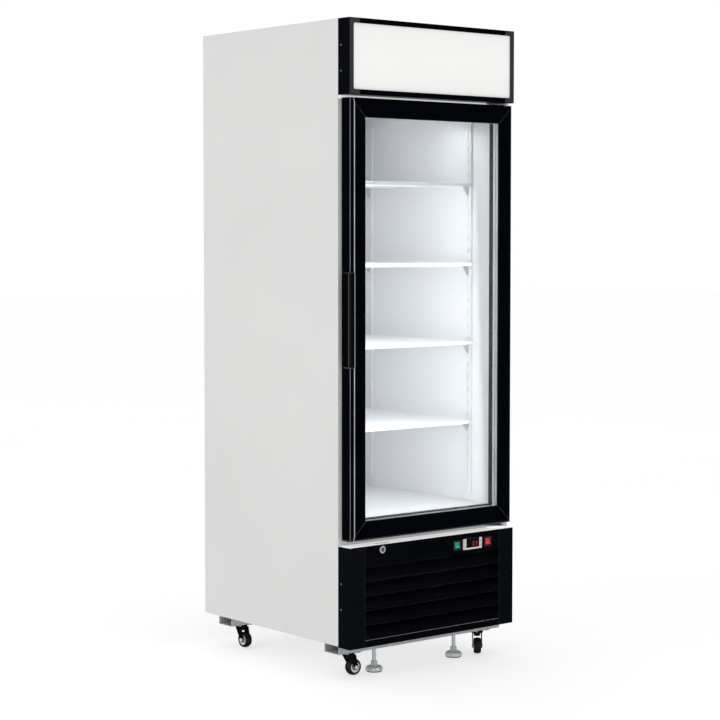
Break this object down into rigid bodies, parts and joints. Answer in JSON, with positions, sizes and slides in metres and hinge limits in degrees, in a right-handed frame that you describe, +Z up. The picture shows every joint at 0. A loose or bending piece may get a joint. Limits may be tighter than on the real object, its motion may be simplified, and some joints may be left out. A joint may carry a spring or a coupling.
{
  "type": "glass door merchandiser",
  "caption": "Upright glass door display refrigerator with lit header canopy, wire shelves, louvred lower panel with controls, swivel casters and levelling feet.",
  "frame": {"origin": "on the floor under the middle of the cabinet's bounding box", "axes": "+Z up, door faces -Y, hinges on the +X side"},
  "size_m": [0.6628, 0.746, 1.95],
  "materials": {
    "casing_paint": "satin light grey powder coat",
    "liner_white": "smooth white lining",
    "foam": "rigid foam",
    "black_plastic": "satin black moulding",
    "black_metal": "semi gloss black powder coat",
    "black_frame": "gloss black anodised",
    "dark_grey_plastic": "fine textured dark grey",
    "lamp_panel": "translucent white acrylic",
    "lamp_white": "lamp body",
    "galvanised": "zinc coated",
    "chrome": "polished",
    "zinc": "zinc plated",
    "silver_plastic": "silver painted",
    "display": "black window with red digits",
    "green_rocker": "translucent green",
    "red_rocker": "translucent red",
    "glass": "clear",
    "spacer_aluminium": "mill finish",
    "gasket": "soft light grey",
    "shelf_white": "white dipped wire",
    "clip_grey": "zinc plated",
    "cover_white": "white powder coat",
    "fin_aluminium": "mill finish",
    "machine_black": "black enamel",
    "wheel": "black tread on a light grey core",
    "caster_black": "black",
    "bush_white": "acetal"
  },
  "bodies": {
    "cabinet": {"back_panel": "galvanised", "base_channels": "galvanised", "base_pan": "galvanised", "breaker_frame": "black_plastic", "cable_gland": "black_plastic", "canopy_end_frames": "dark_grey_plastic", "canopy_housing": "black_metal", "canopy_lamp": "lamp_white", "canopy_panel": "lamp_panel", "canopy_rails": "black_frame", "caster_plates": "caster_black", "compressor": "machine_black", "condenser": "fin_aluminium", "controller_bezel": "silver_plastic", "controller_display": "display", "evaporator_coil": "fin_aluminium", "evaporator_cover": "cover_white", "hinge_brackets": "zinc", "hinge_pins": "zinc", "inner_liner": "liner_white", "insulation": "foam", "lock_housing": "chrome", "louvre_slats": "black_metal", "lower_panel": "black_metal", "outer_casing": "casing_paint", "pilasters": "cover_white", "rear_grille": "black_metal", "shelf_1": "shelf_white", "shelf_2": "shelf_white", "shelf_3": "shelf_white", "shelf_4": "shelf_white", "shelf_clips": "clip_grey", "side_screws": "zinc", "switch_housings": "black_plastic"},
    "door": {"door_stiles": "black_frame", "door_rails": "black_frame", "glass_panes": "glass", "pane_spacers": "spacer_aluminium", "door_gasket": "gasket", "door_handle": "black_plastic", "hinge_bushes": "bush_white"},
    "lock": {"lock_cylinder": "chrome"},
    "power_switch": {"power_rocker": "green_rocker"},
    "lamp_switch": {"lamp_rocker": "red_rocker"},
    "set_key": {"button_set": "silver_plastic"},
    "defrost_key": {"button_defrost": "silver_plastic"},
    "up_key": {"button_up": "silver_plastic"},
    "down_key": {"button_down": "silver_plastic"},
    "evaporator_rotor": {"evaporator_fan": "machine_black"},
    "condenser_rotor": {"condenser_fan": "machine_black"},
    "left_foot": {"foot_left": "chrome"},
    "right_foot": {"foot_right": "chrome"},
    "front_left_fork": {"caster_fork_front_left": "caster_black"},
    "front_left_wheel": {"caster_wheel_front_left": "wheel"},
    "front_right_fork": {"caster_fork_front_right": "caster_black"},
    "front_right_wheel": {"caster_wheel_front_right": "wheel"},
    "rear_left_fork": {"caster_fork_rear_left": "caster_black"},
    "rear_left_wheel": {"caster_wheel_rear_left": "wheel"},
    "rear_right_fork": {"caster_fork_rear_right": "caster_black"},
    "rear_right_wheel": {"caster_wheel_rear_right": "wheel"}
  },
  "joints": [
    {"name": "door_hinge", "type": "hinge", "parent": "cabinet", "child": "door", "pos_m": [0.314, -0.343, 1.069], "axis": [0, 0, 1], "range_deg": [0, 110], "stiffness_Nm_per_rad": 0.8, "springref_deg": -11.46},
    {"name": "lock_turn", "type": "hinge", "parent": "cabinet", "child": "lock", "pos_m": [-0.204, -0.37, 0.386], "axis": [0, -1, 0], "range_deg": [0, 90]},
    {"name": "power_switch_rock", "type": "hinge", "parent": "cabinet", "child": "power_switch", "pos_m": [0.095, -0.366, 0.368], "axis": [1, 0, 0], "range_deg": [0, 16]},
    {"name": "lamp_switch_rock", "type": "hinge", "parent": "cabinet", "child": "lamp_switch", "pos_m": [0.2225, -0.366, 0.368], "axis": [1, 0, 0], "range_deg": [0, 16]},
    {"name": "set_press", "type": "slide", "parent": "cabinet", "child": "set_key", "axis": [0, 1, 0], "range_m": [0, 0.0008], "stiffness_N_per_m": 600, "springref_m": -0.0004},
    {"name": "defrost_press", "type": "slide", "parent": "cabinet", "child": "defrost_key", "axis": [0, 1, 0], "range_m": [0, 0.0008], "stiffness_N_per_m": 600, "springref_m": -0.0004},
    {"name": "up_press", "type": "slide", "parent": "cabinet", "child": "up_key", "axis": [0, 1, 0], "range_m": [0, 0.0008], "stiffness_N_per_m": 600, "springref_m": -0.0004},
    {"name": "down_press", "type": "slide", "parent": "cabinet", "child": "down_key", "axis": [0, 1, 0], "range_m": [0, 0.0008], "stiffness_N_per_m": 600, "springref_m": -0.0004},
    {"name": "evaporator_fan_spin", "type": "hinge", "parent": "cabinet", "child": "evaporator_rotor", "pos_m": [-0.12, -0.02, 1.732], "axis": [0, 0, 1], "continuous": true},
    {"name": "condenser_fan_spin", "type": "hinge", "parent": "cabinet", "child": "condenser_rotor", "pos_m": [-0.115, -0.162, 0.24], "axis": [0, 1, 0], "continuous": true},
    {"name": "left_foot_screw", "type": "slide", "parent": "cabinet", "child": "left_foot", "axis": [0, 0, 1], "range_m": [-0.01, 0.01]},
    {"name": "right_foot_screw", "type": "slide", "parent": "cabinet", "child": "right_foot", "axis": [0, 0, 1], "range_m": [-0.01, 0.01]},
    {"name": "front_left_swivel", "type": "hinge", "parent": "cabinet", "child": "front_left_fork", "pos_m": [-0.262, -0.28, 0.07], "axis": [0, 0, 1], "continuous": true},
    {"name": "front_left_roll", "type": "hinge", "parent": "front_left_fork", "child": "front_left_wheel", "pos_m": [-0.244, -0.28, 0.025], "axis": [0, 1, 0], "continuous": true},
    {"name": "front_right_swivel", "type": "hinge", "parent": "cabinet", "child": "front_right_fork", "pos_m": [0.262, -0.28, 0.07], "axis": [0, 0, 1], "continuous": true},
    {"name": "front_right_roll", "type": "hinge", "parent": "front_right_fork", "child": "front_right_wheel", "pos_m": [0.25057, -0.29391, 0.025], "axis": [0.7727, -0.6347, 0], "continuous": true},
    {"name": "rear_left_swivel", "type": "hinge", "parent": "cabinet", "child": "rear_left_fork", "pos_m": [-0.262, 0.264, 0.07], "axis": [0, 0, 1], "continuous": true},
    {"name": "rear_left_roll", "type": "hinge", "parent": "rear_left_fork", "child": "rear_left_wheel", "pos_m": [-0.262, 0.246, 0.025], "axis": [1, 0, 0], "continuous": true},
    {"name": "rear_right_swivel", "type": "hinge", "parent": "cabinet", "child": "rear_right_fork", "pos_m": [0.262, 0.264, 0.07], "axis": [0, 0, 1], "continuous": true},
    {"name": "rear_right_roll", "type": "hinge", "parent": "rear_right_fork", "child": "rear_right_wheel", "pos_m": [0.271, 0.24841, 0.025], "axis": [0.866, 0.5, 0], "continuous": true}
  ]
}
